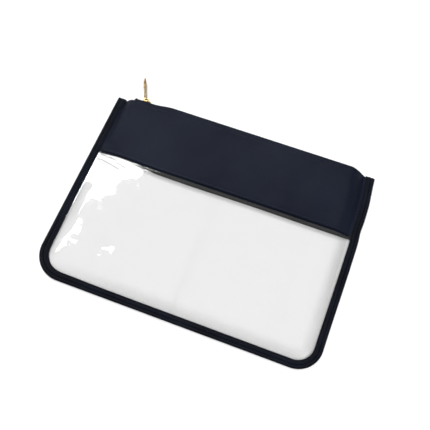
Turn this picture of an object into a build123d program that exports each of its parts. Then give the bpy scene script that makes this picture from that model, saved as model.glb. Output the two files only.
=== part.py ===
from build123d import *
import os
from math import atan2, sin

# A flat zipped pouch lying on its back, in millimetres. X runs along the zip, Y from the bottom
# seam towards the zip, Z up. The origin is on the underside of the back window, half way across.

# Plan of the bag
WIDTH = 280.0            # over the binding
BOTTOM_Y = -107.0        # outer edge of the bottom binding
LEFT_END_Y = 99.5        # cut end of the binding, left side
RIGHT_END_Y = 101.5      # cut end of the binding, right side
RIGHT_LEAN = 1.7         # the right side leans in by this much at its cut end
LEFT_CORNER_R = 29.0
RIGHT_CORNER_R = 24.0
LEAST_CORNER_R = 4.0
SEAM_Y = 33.5            # where window and band are joined
EDGE_Y = 102.9           # folded top edge of the bands

# Sheets and tapes
SHEET = 0.5              # vinyl and nylon thickness
BINDING_WIDTH = 8.0
BINDING_HEIGHT = 3.0
MARGIN_INSET = 1.0       # raw edge of the back sheet, inside the fold of the binding
JOGGLE = 0.5             # overlap of the back sheet's floor with its raised margin
THREAD_WIDTH = 0.7
THREAD = 0.15            # height of a stitch row above its sheet
BINDING_STITCH_INSET = 6.6
SEAM_STITCH_Y = SEAM_Y + 3.0
STRIP_LOW_Y = SEAM_Y - 5.5
STRIP_HIGH_Y = SEAM_Y + 4.5
STRIP = 0.4

# Domed front sheet
FRONT_GAP = 0.4          # free gap between the front sheet and the binding
FRONT_INSET = BINDING_WIDTH + FRONT_GAP
EDGE_Z = 2.0             # height of the front sheet's sewn rim
FRONT_RUN = 9.0          # plan width of the slope round the front sheet
FRONT_HIGH_Z = 9.0       # outside of the front sheet at the zip
FRONT_LOW_Z = 6.5        # outside of the front sheet at the bottom seam
FRONT_RISE = FRONT_HIGH_Z - EDGE_Z
SLOPE_SHIFT = 1.0 / sin(atan2(FRONT_RISE, FRONT_RUN))   # plan shift of the slope per mm of depth
OVERSHOOT = 20.0         # how far the tools run past the bag

# Zip
ZIP_Z = FRONT_HIGH_Z / 2
ZIP_Y = 101.1            # centre line of the coils
COIL_GAP = 0.5           # half the gap between the two coils
COIL_WIDTH = 1.7
COIL_HALF = 0.95         # half the coil's height, across the zip's face
TAPE = 0.5
TAPE_WIDTH = 10.0        # part of the tape that lies under the band
TAPE_CLEAR = 0.2         # between tape and band
TAPE_LEFT = -121.0
TAPE_RIGHT = 116.0
COIL_LEFT = TAPE_LEFT + 2.0
COIL_RIGHT = TAPE_RIGHT - 2.0
ZIP_STITCH_Y = EDGE_Y - 5.0
CORNER_DROP_Y = 98.0     # the bands' top corners slant down to here at the binding
STITCH_REACH = 117.0     # half length of the straight stitch rows

# Slider, with its travel from the closed rest place at the left to the bottom stop
SLIDER_LEFT = -113.3
SLIDER_LENGTH = 9.0
SLIDER_NOSE = 3.0        # half width at the leading end
SLIDER_TAIL = 2.5        # half width at the trailing end
SLIDER_PLATE = 1.2
SLIDER_ROOM = 1.25       # half the space between the plates
POST_LENGTH = 2.7
POST_HALF = 0.3
TRAVEL = 210.0
STOP_LENGTH = 2.4
STOP_GAP = 0.5
STOP_WALL = 0.45
STOP_LIP = 0.15          # wall of a top stop in the gap between the coils

# Arch on the slider and the pull
BAIL_LEFT = -113.3
BAIL_LENGTH = 5.6
BAIL_HEIGHT = 3.7
BAIL_BAND = 0.8
BAIL_HALF = 0.9
PULL_X = -111.4
PULL_ABOVE_PLATE = 1.8   # height of the crossbar's axis over the outer plate
PULL_ANGLE = 24.5        # the pull leans this much from +Y towards -X
PULL_TWIST = 25.0        # and its play in the arch lets it turn this much about its own length
PULL_LENGTH = 27.1       # crossbar axis to tip
PULL_THICK = 1.4
PULL_ROUND = 0.35        # rounding of the pull's edges
CROSSBAR_R = 0.55
EYE_HALF = 1.45
EYE_END = 5.1
PULL_NECK = 2.3          # half widths along the pull
PULL_BELLY = 3.2
PULL_TIP = 2.0
SLOT_HALF = 1.1
SLOT_FROM = 15.5
SLOT_TO = 22.5

PLATE_FACE_Y = ZIP_Y + SLIDER_ROOM + SLIDER_PLATE
PULL_Y = PLATE_FACE_Y + PULL_ABOVE_PLATE


def block(x0, x1, y0, y1, z0, z1):
    """Box between two corners."""
    size = Box(x1 - x0, y1 - y0, z1 - z0)
    return Pos((x0 + x1) / 2, (y0 + y1) / 2, (z0 + z1) / 2) * size


def outline(inset, left_top, right_top):
    """Plan of the bag moved in by inset on its three sewn sides and closed by a line across the top."""
    left = -WIDTH / 2 + inset
    right = WIDTH / 2 - inset
    low = BOTTOM_Y + inset
    lean = RIGHT_LEAN * (right_top - BOTTOM_Y) / (RIGHT_END_Y - BOTTOM_Y)
    radii = [max(LEFT_CORNER_R - inset, LEAST_CORNER_R), max(RIGHT_CORNER_R - inset, LEAST_CORNER_R)]
    sides = FilletPolyline((left, left_top), (left, low), (right, low), (right - lean, right_top), radius=radii)
    return make_face(sides + Line(sides @ 1, sides @ 0))


def open_outline(inset):
    """The same plan, run on past the zip."""
    return outline(inset, EDGE_Y + OVERSHOOT, EDGE_Y + OVERSHOOT)


def slab(inset, z0, z1):
    """Flat layer with the bag's plan."""
    return Pos(0, 0, z0) * extrude(open_outline(inset), z1 - z0)


def under_front_plane(depth):
    """Everything below the tilted plane of the front, moved down by depth."""
    fall = (FRONT_HIGH_Z - FRONT_LOW_Z) / (EDGE_Y - BOTTOM_Y)
    near_y = BOTTOM_Y - OVERSHOOT
    far_y = EDGE_Y + OVERSHOOT
    near_z = FRONT_LOW_Z - fall * OVERSHOOT - depth
    far_z = FRONT_HIGH_Z + fall * OVERSHOOT - depth
    profile = make_face(Polyline((near_y, -1), (far_y, -1), (far_y, far_z), (near_y, near_z), close=True))
    return extrude(Plane.YZ * profile, WIDTH, both=True)


def front_space(depth):
    """Space under the front sheet: a frustum on its sewn rim, cut off by the tilted plane."""
    shift = depth * SLOPE_SHIFT
    foot = Pos(0, 0, EDGE_Z) * open_outline(FRONT_INSET + shift)
    crown = Pos(0, 0, FRONT_HIGH_Z + 1) * open_outline(FRONT_INSET + shift + FRONT_RUN * (1 + 1 / FRONT_RISE))
    return loft([foot, crown], ruled=True) & under_front_plane(depth)


def front_layer(depth0, depth1, x0, x1, y0, y1):
    """Part of the layer between two depths below the outside of the front."""
    window = block(x0, x1, y0, y1, 0, FRONT_HIGH_Z + 1)
    return (front_space(depth0) - front_space(depth1)) & window


def corner_cuts():
    """Wedges that slant the bands' top corners down to the binding's ends."""
    reach = WIDTH / 2 + OVERSHOOT
    inner = WIDTH / 2 - BINDING_WIDTH
    cuts = []
    for side, end_x in ((-1, TAPE_LEFT), (1, TAPE_RIGHT)):
        corner = [(end_x, EDGE_Y), (side * inner, CORNER_DROP_Y), (side * reach, CORNER_DROP_Y)]
        wedge = make_face(Polyline(*corner, (side * reach, EDGE_Y + 1), (end_x, EDGE_Y + 1), close=True))
        cuts.append(Pos(0, 0, -1) * extrude(wedge, FRONT_HIGH_Z + 3))
    return cuts


def binding():
    """U of folded tape with a slot for the back sheet's margin."""
    body = extrude(outline(0, LEFT_END_Y, RIGHT_END_Y), BINDING_HEIGHT)
    body -= slab(BINDING_WIDTH, 0, BINDING_HEIGHT)
    body -= slab(MARGIN_INSET, SHEET, 2 * SHEET)
    long_edges = body.faces().sort_by(Axis.Z)[-1].edges()
    return fillet(long_edges, 0.8)


def binding_thread():
    """Stitch row on the binding, near its inner edge."""
    row = extrude(outline(BINDING_STITCH_INSET, LEFT_END_Y - 1, RIGHT_END_Y - 1), THREAD)
    row -= extrude(outline(BINDING_STITCH_INSET + THREAD_WIDTH, LEFT_END_Y, RIGHT_END_Y), THREAD)
    return Pos(0, 0, BINDING_HEIGHT) * row


def back_sheet():
    """Flat back sheet: its floor lies on the ground and its margin steps up into the binding."""
    floor = slab(BINDING_WIDTH, 0, SHEET)
    margin = slab(MARGIN_INSET, SHEET, 2 * SHEET) - slab(BINDING_WIDTH + JOGGLE, SHEET, 2 * SHEET)
    margin &= block(-WIDTH, WIDTH, BOTTOM_Y, CORNER_DROP_Y, 0, BINDING_HEIGHT)
    return floor + margin


def sheets():
    """The four sheets: window and band, front and back, meeting at the seam."""
    below = block(-WIDTH, WIDTH, BOTTOM_Y, SEAM_Y, 0, BINDING_HEIGHT)
    above = block(-WIDTH, WIDTH, SEAM_Y, EDGE_Y, 0, BINDING_HEIGHT)
    cuts = corner_cuts()
    front = (front_layer(0, SHEET, -WIDTH, WIDTH, SEAM_Y, EDGE_Y) - cuts[0]) - cuts[1]
    back = ((back_sheet() & above) - cuts[0]) - cuts[1]
    return {
        "front_clear_panel": front_layer(0, SHEET, -WIDTH, WIDTH, BOTTOM_Y, SEAM_Y),
        "front_nylon_band": front,
        "back_clear_panel": back_sheet() & below,
        "back_nylon_band": back,
    }


def seam_strips():
    """Seam allowances on the inside of both seams, and the stitch rows through them."""
    half = WIDTH / 2 - FRONT_INSET - FRONT_RUN
    row_y = (SEAM_STITCH_Y, SEAM_STITCH_Y + THREAD_WIDTH)
    strip_y = (STRIP_LOW_Y, STRIP_HIGH_Y)
    return {
        "front_seam_strip": front_layer(SHEET, SHEET + STRIP, -half, half, *strip_y),
        "front_seam_thread": front_layer(-THREAD, 0, -STITCH_REACH, STITCH_REACH, *row_y),
        "back_seam_strip": block(-half, half, *strip_y, SHEET, SHEET + STRIP),
        "back_seam_thread": block(-STITCH_REACH, STITCH_REACH, *row_y, SHEET + STRIP, SHEET + STRIP + THREAD),
    }


def tape():
    """Back half of the zip tape, an L: it lies on the band, then turns up to the coil at the edge."""
    low = SHEET + TAPE_CLEAR
    lying = block(TAPE_LEFT, TAPE_RIGHT, ZIP_Y - TAPE_WIDTH, ZIP_Y + TAPE / 2, low, low + TAPE)
    coil_foot = ZIP_Z - COIL_GAP - COIL_WIDTH
    return lying + block(TAPE_LEFT, TAPE_RIGHT, ZIP_Y - TAPE / 2, ZIP_Y + TAPE / 2, low, coil_foot)


def coil():
    """Back coil, as the straight bar that its turns fill."""
    z1 = ZIP_Z - COIL_GAP
    return block(COIL_LEFT, COIL_RIGHT, ZIP_Y - COIL_HALF, ZIP_Y + COIL_HALF, z1 - COIL_WIDTH, z1)


def top_stop():
    """Clip pinched over the closed end of the back coil."""
    x1 = SLIDER_LEFT - STOP_GAP
    z1 = ZIP_Z - COIL_GAP + STOP_LIP
    reach = COIL_HALF + STOP_WALL
    return block(x1 - STOP_LENGTH, x1, ZIP_Y - reach, ZIP_Y + reach, z1 - COIL_WIDTH, z1) - coil()


def bottom_stop():
    """H-shaped clip over both coils at the open end, pressed on the back coil."""
    x0 = SLIDER_LEFT + SLIDER_LENGTH + TRAVEL + STOP_GAP
    x1 = x0 + STOP_LENGTH
    inner = COIL_HALF + 0.2
    outer = inner + STOP_WALL
    web_top = ZIP_Z + POST_HALF
    clip = block(x0, x1, ZIP_Y - outer, ZIP_Y + outer, ZIP_Z - COIL_GAP, web_top)
    for near_y, far_y in ((-outer, -inner), (inner, outer)):
        clip += block(x0, x1, ZIP_Y + near_y, ZIP_Y + far_y, ZIP_Z - 2, ZIP_Z + 2)
    return clip


def flip(shape):
    """Mirror image in the zip's own mid plane, from the back half to the front half."""
    return Pos(0, 0, 2 * ZIP_Z) * mirror(shape, Plane.XY)


def zip_thread_back():
    """Stitch row on the inner side of the back tape."""
    z0 = SHEET + TAPE_CLEAR + TAPE
    y0 = ZIP_STITCH_Y
    return block(-STITCH_REACH, STITCH_REACH - 5, y0, y0 + THREAD_WIDTH, z0, z0 + THREAD)


def slider_plate(y0):
    """One plate of the slider, wide at the leading end and narrower at the tail."""
    x0 = SLIDER_LEFT
    x1 = SLIDER_LEFT + SLIDER_LENGTH
    waist = x0 + 0.55 * SLIDER_LENGTH
    half = [(x0, SLIDER_NOSE), (waist, SLIDER_NOSE), (x1, SLIDER_TAIL)]
    points = [(x, ZIP_Z + z) for x, z in half] + [(x, ZIP_Z - z) for x, z in reversed(half)]
    plan = make_face(Polyline(*points, close=True))
    plan = fillet(plan.vertices(), 0.9)
    plate = extrude(Plane.XZ.offset(-y0) * plan, -SLIDER_PLATE)
    return fillet(plate.edges().filter_by(lambda edge: abs(edge.bounding_box().size.Y) < 0.01), 0.25)


def slider_body():
    """Two plates held apart by the post that parts the coils."""
    body = slider_plate(ZIP_Y + SLIDER_ROOM) + slider_plate(ZIP_Y - SLIDER_ROOM - SLIDER_PLATE)
    x0 = SLIDER_LEFT + 0.7
    post = block(x0, x0 + POST_LENGTH, ZIP_Y - SLIDER_ROOM, ZIP_Y + SLIDER_ROOM, ZIP_Z - POST_HALF, ZIP_Z + POST_HALF)
    return body + post


def slider_bail():
    """Rounded arch standing on the outer plate."""
    arch = Rectangle(BAIL_LENGTH, BAIL_HEIGHT, align=(Align.MIN, Align.MIN))
    room = Pos(BAIL_BAND, 0) * Rectangle(BAIL_LENGTH - 2 * BAIL_BAND, BAIL_HEIGHT - BAIL_BAND, align=(Align.MIN, Align.MIN))
    arch = fillet(arch.vertices().sort_by(Axis.Y)[-2:], 1.3)
    room = fillet(room.vertices().sort_by(Axis.Y)[-2:], 0.6)
    side = Pos(BAIL_LEFT, PLATE_FACE_Y) * (arch - room)
    return Pos(0, 0, ZIP_Z - BAIL_HALF) * extrude(side, 2 * BAIL_HALF)


def pull_tab():
    """Flat pull with an eye round the arch, a crossbar through it and a long slot near its tip."""
    foot = -CROSSBAR_R
    half = [(PULL_NECK, foot), (PULL_NECK, EYE_END + 1.5), (PULL_BELLY, 0.65 * PULL_LENGTH), (PULL_TIP, PULL_LENGTH)]
    points = half + [(-z, u) for z, u in reversed(half)]
    face = make_face(Polyline(*points, close=True))
    face = fillet(face.vertices().sort_by(Axis.Y)[-2:], 1.6)
    face -= Pos(0, (EYE_END + foot) / 2) * Rectangle(2 * EYE_HALF, EYE_END - foot)
    slot = SlotCenterToCenter(SLOT_TO - SLOT_FROM, 2 * SLOT_HALF)
    face -= Pos(0, (SLOT_FROM + SLOT_TO) / 2) * Rot(0, 0, 90) * slot
    plate = extrude(Plane.ZY * face, PULL_THICK / 2, both=True)
    rims = plate.edges().filter_by(lambda edge: abs(edge.bounding_box().size.X) < 0.01)
    plate = fillet(rims, PULL_ROUND)
    plate += Cylinder(CROSSBAR_R, 2 * EYE_HALF + PULL_ROUND)
    lean = Rot(0, 0, PULL_ANGLE) * Rot(0, PULL_TWIST, 0)
    return Pos(PULL_X, PULL_Y, ZIP_Z) * lean * plate


def main():
    parts = {"edge_binding": binding(), "binding_thread": binding_thread()}
    parts.update(sheets())
    parts.update(seam_strips())
    parts["back_zipper_tape"] = tape()
    parts["front_zipper_tape"] = flip(tape())
    parts["back_coil"] = coil()
    parts["front_coil"] = flip(coil())
    parts["back_top_stop"] = top_stop()
    parts["front_top_stop"] = flip(top_stop())
    parts["bottom_stop"] = bottom_stop()
    parts["back_zip_thread"] = zip_thread_back()
    zip_row_y = (ZIP_STITCH_Y, ZIP_STITCH_Y + THREAD_WIDTH)
    parts["front_zip_thread"] = front_layer(-THREAD, 0, -STITCH_REACH, STITCH_REACH - 5, *zip_row_y)
    parts["slider_body"] = slider_body()
    parts["slider_bail"] = slider_bail()
    parts["pull_tab"] = pull_tab()
    for node, shape in parts.items():
        export_step(shape, f"parts/{node}.step")
        print(node, round(shape.volume, 1), shape.bounding_box())


os.makedirs("parts", exist_ok=True)
main()
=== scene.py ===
# %% [markdown]
# # A clear makeup pouch
#
# The object is a flat zipped pouch lying on its back. Its front and back are each a window of clear
# vinyl sewn to a band of dark nylon. One length of nylon tape binds the two sides and the bottom,
# and a coil zip with a gold slider closes the top.
#
# The working model comes in first, and every soft piece is then made around it: the hardware stays
# as it is, and sheets, tapes, coils and threads are new surfaces that stand for the plain solids.

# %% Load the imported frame
import math
import bmesh
import bpy
import numpy as np
from mathutils import Matrix, Vector


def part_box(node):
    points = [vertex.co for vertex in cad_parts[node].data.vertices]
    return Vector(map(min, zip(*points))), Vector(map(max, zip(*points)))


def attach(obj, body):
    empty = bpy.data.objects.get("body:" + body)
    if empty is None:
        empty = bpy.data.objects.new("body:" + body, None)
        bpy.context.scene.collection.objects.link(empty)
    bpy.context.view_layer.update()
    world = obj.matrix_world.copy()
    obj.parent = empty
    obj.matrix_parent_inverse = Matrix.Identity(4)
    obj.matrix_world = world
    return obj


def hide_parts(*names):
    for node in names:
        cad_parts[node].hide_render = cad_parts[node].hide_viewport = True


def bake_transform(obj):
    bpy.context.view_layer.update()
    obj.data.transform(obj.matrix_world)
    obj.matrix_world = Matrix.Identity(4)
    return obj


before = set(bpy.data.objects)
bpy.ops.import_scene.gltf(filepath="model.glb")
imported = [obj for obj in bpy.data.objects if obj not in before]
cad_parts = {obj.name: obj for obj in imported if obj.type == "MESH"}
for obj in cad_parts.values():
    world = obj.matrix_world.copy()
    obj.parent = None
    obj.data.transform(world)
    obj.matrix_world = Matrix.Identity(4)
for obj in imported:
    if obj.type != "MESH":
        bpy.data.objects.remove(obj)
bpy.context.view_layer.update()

# %% [markdown]
# ## Camera
#
# The camera looks down steeply from beyond the bottom seam. It is set from three turns, as a person
# would turn a tripod head: round the upright axis, down from the horizon, and a slight roll. A
# tracking constraint would also aim it, but it gives no roll.

# %% Camera
MM = 0.001
CAMERA_AT = (90.1 * MM, -241.5 * MM, 580.0 * MM)
CAMERA_AZIMUTH = math.radians(19.21)
CAMERA_ELEVATION = math.radians(65.45)
CAMERA_ROLL = math.radians(1.46)
LENS = 54.7


def camera_turn(azimuth, elevation, roll):
    """Rotation whose -Z is the line of sight and whose X is its right, rolled about that line."""
    forward = Vector((-math.sin(azimuth) * math.cos(elevation), math.cos(azimuth) * math.cos(elevation),
                      -math.sin(elevation)))
    level = Vector((math.cos(azimuth), math.sin(azimuth), 0))
    right = level * math.cos(roll) + level.cross(forward) * math.sin(roll)
    return Matrix((right, right.cross(forward), -forward)).transposed().to_4x4()


camera = bpy.data.objects.new("camera", bpy.data.cameras.new("camera"))
camera.data.lens = LENS
camera.data.clip_start = 10 * MM
turn = camera_turn(CAMERA_AZIMUTH, CAMERA_ELEVATION, CAMERA_ROLL)
camera.matrix_world = Matrix.Translation(CAMERA_AT) @ turn
bpy.context.scene.collection.objects.link(camera)
bpy.context.scene.camera = camera
print("camera at", [round(v, 3) for v in camera.location])

# %% [markdown]
# ## Floor and light
#
# Clear vinyl shows little but what it mirrors, so the light is planned like a product table: a pale
# floor lit almost to white, a dim even surround, and four bright panes high up beyond the zip's left
# end, whose mirror image falls on the left of the bag's window. Area lights are used rather than a
# sky picture, because their size and place decide where that mirror image ends. Two more panels only
# fill in light and are kept out of reflections.

# %% Floor and light
FLOOR_HALF = 3.0
SURROUND = 0.3
PANE_HEIGHT = 1.5
PANE_GLOW = 14.0


def area_light(name, at, size, glow, toward=None):
    """Rectangular lamp of size (width, height) and radiance glow; it faces a point, or down."""
    lamp = bpy.data.lights.new(name, "AREA")
    lamp.shape = "RECTANGLE"
    lamp.size, lamp.size_y = size
    lamp.energy = glow * math.pi * size[0] * size[1]
    holder = bpy.data.objects.new(name, lamp)
    turn = Matrix.Identity(4)
    if toward is not None:
        turn = (Vector(toward) - Vector(at)).to_track_quat("-Z", "Y").to_matrix().to_4x4()
    holder.matrix_world = Matrix.Translation(at) @ turn
    bpy.context.scene.collection.objects.link(holder)
    return holder


def window_pane(name, x0, x1, y0, y1):
    """One pane of the mirrored window: a flat lamp at PANE_HEIGHT between two corners, facing down."""
    return area_light(name, ((x0 + x1) / 2, (y0 + y1) / 2, PANE_HEIGHT), (x1 - x0, y1 - y0), PANE_GLOW)


world = bpy.data.worlds.new("surround")
world.use_nodes = True
world.node_tree.nodes["Background"].inputs["Color"].default_value = (1.0, 1.0, 1.0, 1.0)
world.node_tree.nodes["Background"].inputs["Strength"].default_value = SURROUND
bpy.context.scene.world = world
bpy.context.scene.view_settings.view_transform = "Standard"

window_pane("pane_far", -1.3, -0.62, 0.65, 1.6)
window_pane("pane_corner", -0.62, -0.565, 0.65, 0.78)
window_pane("pane_middle", -1.05, -0.65, 0.52, 0.65)
window_pane("pane_near", -1.3, -0.672, 0.375, 0.425)
for key in (area_light("key_panel", (0.7, -1.0, 1.8), (1.4, 1.4), 6.5, (0, 0, 0)),
            area_light("right_panel", (1.5, 0.6, 1.4), (1.0, 1.0), 3.0, (0, 0, 0))):
    key.visible_glossy = False

floor_mesh = bpy.data.meshes.new("floor")
floor_corners = FLOOR_HALF * np.array([(-1, -1), (1, -1), (1, 1), (-1, 1)])
floor_mesh.from_pydata([(x, y, -0.05 * MM) for x, y in floor_corners], [], [(0, 1, 2, 3)])
floor = bpy.data.objects.new("floor", floor_mesh)
bpy.context.scene.collection.objects.link(floor)

# %% [markdown]
# ## Helpers for surfaces
#
# Every new piece is a grid of points worked out by a formula. Two builders turn grids into meshes:
# a closed shell for a sheet, which has two faces and a rim, and a tube for a profile carried along
# a path. Normals are made to point outwards once, at the end of each builder.

# %% Helpers for surfaces
SHARP_EDGE = math.radians(50)


def finish_mesh(name, points_mm, faces, uv=None):
    """Mesh object from points in millimetres and rows of corners; uv holds a pair for each corner."""
    mesh = bpy.data.meshes.new(name)
    mesh.from_pydata((np.asarray(points_mm) * MM).tolist(), [], [list(f) for f in faces])
    if uv is not None:
        layer = mesh.uv_layers.new(name="Flow")
        layer.data.foreach_set("uv", np.asarray(uv, np.float32).ravel())
    solid = bmesh.new()
    solid.from_mesh(mesh)
    bmesh.ops.recalc_face_normals(solid, faces=solid.faces)
    solid.to_mesh(mesh)
    solid.free()
    mesh.polygons.foreach_set("use_smooth", np.ones(len(mesh.polygons), bool))
    mesh.set_sharp_from_angle(angle=SHARP_EDGE)
    piece = bpy.data.objects.new(name, mesh)
    bpy.context.scene.collection.objects.link(piece)
    return piece


def grid_quads(index):
    """Corners of the quads of a grid of point numbers."""
    return np.stack([index[:-1, :-1], index[1:, :-1], index[1:, 1:], index[:-1, 1:]], -1).reshape(-1, 4)


def sheet_shell(name, outer, inner):
    """Closed sheet: a grid of points for each face, joined by a strip of quads round the rim."""
    count = outer.shape[0] * outer.shape[1]
    index = np.arange(count).reshape(outer.shape[:2])
    rim = np.concatenate([index[0, :-1], index[:-1, -1], index[-1, :0:-1], index[:0:-1, 0]])
    after = np.roll(rim, -1)
    sides = np.stack([rim, after, after + count, rim + count], -1)
    faces = np.concatenate([grid_quads(index), grid_quads(index)[:, ::-1] + count, sides])
    return finish_mesh(name, np.concatenate([outer.reshape(-1, 3), inner.reshape(-1, 3)]), faces)


def grid_normals(points):
    """Unit normals of a grid: the cross product of its two directions."""
    normals = np.cross(np.gradient(points, axis=1), np.gradient(points, axis=0))
    return normals / np.maximum(np.linalg.norm(normals, axis=-1, keepdims=True), 1e-9)


def thick_sheet(name, points, thickness):
    """Shell below a grid; its lower face is the grid moved against its upward normal."""
    normals = grid_normals(points)
    if normals[points.shape[0] // 4, points.shape[1] // 2, 2] < 0:
        normals = -normals
    return sheet_shell(name, points, points - thickness * normals)


def tube(name, rings, along, around):
    """Closed tube from rings of points (stations, points, 3), capped, with UV in millimetres."""
    stations, ring = rings.shape[:2]
    index = np.arange(stations * ring).reshape(stations, ring)
    wrapped = np.concatenate([index, index[:, :1]], axis=1)
    quads = grid_quads(wrapped)
    uv_grid = np.stack(np.meshgrid(along, around, indexing="ij"), -1)
    corner = np.arange(uv_grid.shape[0] * uv_grid.shape[1]).reshape(uv_grid.shape[:2])
    uv = uv_grid.reshape(-1, 2)[grid_quads(corner)].reshape(-1, 2)
    caps = [index[0, ::-1], index[-1]]
    cap_uv = np.zeros((2 * ring, 2))
    return finish_mesh(name, rings.reshape(-1, 3), [*quads.tolist(), *[c.tolist() for c in caps]],
                       np.concatenate([uv, cap_uv]))


def smooth(t):
    """Smoothstep: 0 below 0, 1 above 1, and 3t^2 - 2t^3 between."""
    t = np.clip(t, 0, 1)
    return t * t * (3 - 2 * t)


def bump(x, centre, width):
    """Bell curve of height 1 about a centre."""
    return np.exp(-((x - centre) / width) ** 2)


# %% [markdown]
# ## Plan of the bag
#
# All pieces share one plan. Its sizes come from the frame's boxes; only the corner rounding and the
# slight lean of the right side are stated again. The plan is a U: down the left side, along the
# bottom and up the right side, with quarter circles between. A point of the plan is given by its
# place along the U and how far in it lies, so binding, thread and sheet edges always agree.

# %% Plan of the bag
LEFT_CORNER = 29.0
RIGHT_CORNER = 24.0
BINDING_WIDTH = 8.0
RIGHT_LEAN = 1.7
STITCH_PITCH = 2.7
VALLEY_INSET = 6.5
TUCK_INSET = 3.4


def box_mm(node):
    """Lowest and highest corner of a node, in millimetres."""
    return [np.array(corner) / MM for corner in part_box(node)]


binding_low, binding_high = box_mm("edge_binding")
HALF = -binding_low[0]
BOTTOM = binding_low[1]
RIGHT_END = binding_high[1]
LEFT_END = RIGHT_END - 2.0
SEAM = box_mm("front_nylon_band")[0][1]
EDGE = box_mm("front_nylon_band")[1][1]
FRONT_TOP = box_mm("front_nylon_band")[1][2]
ZIP_Y = (box_mm("front_coil")[0][1] + box_mm("front_coil")[1][1]) / 2
ZIP_Z = (box_mm("back_coil")[0][2] + box_mm("front_coil")[1][2]) / 2
RIM = HALF - BINDING_WIDTH


def bow(y):
    """How far the right side bows outwards: more towards the top, but let in at seam and zip."""
    rise = 2.8 * smooth((y - BOTTOM + 5) / 150)
    return rise * (1 - 0.72 * smooth((y - 66) / 36)) - 0.7 * bump(y, SEAM + 7, 8)


def lean_in(points):
    """The right half leans in and bows out: x moves in proportion to x, differently at each y."""
    points = np.array(points, float)
    y = points[..., 1]
    move = bow(y) - RIGHT_LEAN * (y - BOTTOM) / (RIGHT_END - BOTTOM)
    points[..., 0] += move * np.clip(points[..., 0] / HALF, 0, None)
    return points


def u_path(step, inset_for_length=4.0):
    """Stations round the U: outer edge point, inward normal and length so far at one inset."""
    left_r, right_r = LEFT_CORNER, RIGHT_CORNER
    runs = []

    def line(start, end, normal):
        count = max(2, round(math.dist(start, end) / step))
        t = np.linspace(0, 1, count, endpoint=False)[:, None]
        along = np.array(start) + t * (np.array(end) - np.array(start))
        runs.append((along, np.tile(normal, (count, 1))))

    def arc(centre, radius, start, end):
        count = max(4, round((radius - inset_for_length) * abs(end - start) / step))
        angle = np.linspace(start, end, count, endpoint=False)
        out = np.stack([np.cos(angle), np.sin(angle)], -1)
        runs.append((np.array(centre) + radius * out, -out))

    line((-HALF, LEFT_END), (-HALF, BOTTOM + left_r), (1.0, 0.0))
    arc((-HALF + left_r, BOTTOM + left_r), left_r, math.pi, 1.5 * math.pi)
    line((-HALF + left_r, BOTTOM), (HALF - right_r, BOTTOM), (0.0, 1.0))
    arc((HALF - right_r, BOTTOM + right_r), right_r, 1.5 * math.pi, 2 * math.pi)
    line((HALF, BOTTOM + right_r), (HALF, RIGHT_END), (-1.0, 0.0))
    points = np.concatenate([r[0] for r in runs] + [np.array([[HALF, RIGHT_END]])])
    normals = np.concatenate([r[1] for r in runs] + [np.array([[-1.0, 0.0]])])
    middle = points + inset_for_length * normals
    length = np.concatenate([[0], np.cumsum(np.linalg.norm(np.diff(middle, axis=0), axis=1))])
    return points, normals, length


print("plan", round(2 * HALF, 1), "x", round(EDGE - BOTTOM, 1), "mm, seam at", round(SEAM, 1))

# %% [markdown]
# ## Height of the front
#
# The front is a shallow pillow. It leaves the binding steeply, levels off within a centimetre or so
# and rises slowly towards the zip, where the coils hold front and back apart. A product of three
# quarter sines, one for each sewn side, gives that shape with soft corners. A flat margin a
# millimetre wide is left beside the binding, where its stitches press the sheet down. A cloth
# simulation would settle to nearly the same dome, but vinyl and coated nylon are stiff, and the
# formula keeps the sheets exactly clear of the zip.

# %% Height of the front
RIM_Z = 1.7
RUN_LOW, RUN_HIGH = 13.0, 9.0
RUN_EXTRA_LEFT, RUN_EXTRA_RIGHT = 22, 6
MARGIN = 1.3
WINDOW_Z = 4.4
SEAM_DROP, SEAM_RISE = 1.0, 1.5
DENT = ((-87, -62), (12, 13), 0.75)
CREASES = (
    ((-131, 24.5), (-102, 18.5), 1.2, 0.8),
    ((-114, 26), (-96, 21.5), 1.1, 0.6),
    ((-132, 29.5), (-108, 27), 0.9, 0.4),
)


def front_height(x, y):
    """Outside height: the rim's, plus a rise times a quarter sine from each of the sewn sides."""
    run = RUN_LOW + (RUN_HIGH - RUN_LOW) * smooth((y - SEAM) / (EDGE - SEAM))
    right_rim = RIM - RIGHT_LEAN * (y - BOTTOM) / (RIGHT_END - BOTTOM)
    soft = RUN_EXTRA_LEFT * smooth((y + 18) / 26) * (1 - smooth((y - 30) / 20))
    wide = RUN_EXTRA_RIGHT * smooth((y - SEAM) / (EDGE - SEAM))
    left = np.sin(0.5 * np.pi * np.clip((x + RIM - MARGIN) / (run + soft), 0, 1))
    right = np.sin(0.5 * np.pi * np.clip((right_rim - x - MARGIN) / (run + wide), 0, 1))
    low = np.sin(0.5 * np.pi * np.clip((y - BOTTOM - BINDING_WIDTH - MARGIN) / run, 0, 1))
    return RIM_Z + (plateau(x, y) - RIM_Z) * left * right * low + waves(x, y) + ripples(x, y)


def plateau(x, y):
    """Level part: low over the window, lowest at its left, rising through the band to the zip."""
    window = WINDOW_Z + 1.2 * smooth((y + 100) / 150)
    sag = 1.1 * (1 - smooth((x + 145) / 110)) * (1 - smooth((y - SEAM) / 30))
    return window - sag + (FRONT_TOP - (WINDOW_Z + 1.2)) * smooth((y - SEAM) / 65)


def seam_at(x):
    """The seam's line: straight, but drawn up a little where it runs into the left binding."""
    return SEAM - SEAM_DROP + SEAM_RISE * (1 - smooth((x + RIM - 10) / 60))


def waves(x, y):
    """Long soft waves of the nylon, still at the seam and at the zip."""
    inside = smooth((y - SEAM) / 12.0) * smooth((EDGE - 8 - y) / 14.0)
    inside = inside * smooth((RIM - np.abs(x)) / 12.0)
    return inside * (0.22 * np.sin(0.083 * x + 0.02 * y + 0.6) + 0.12 * np.sin(0.19 * x - 0.05 * y))


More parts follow.
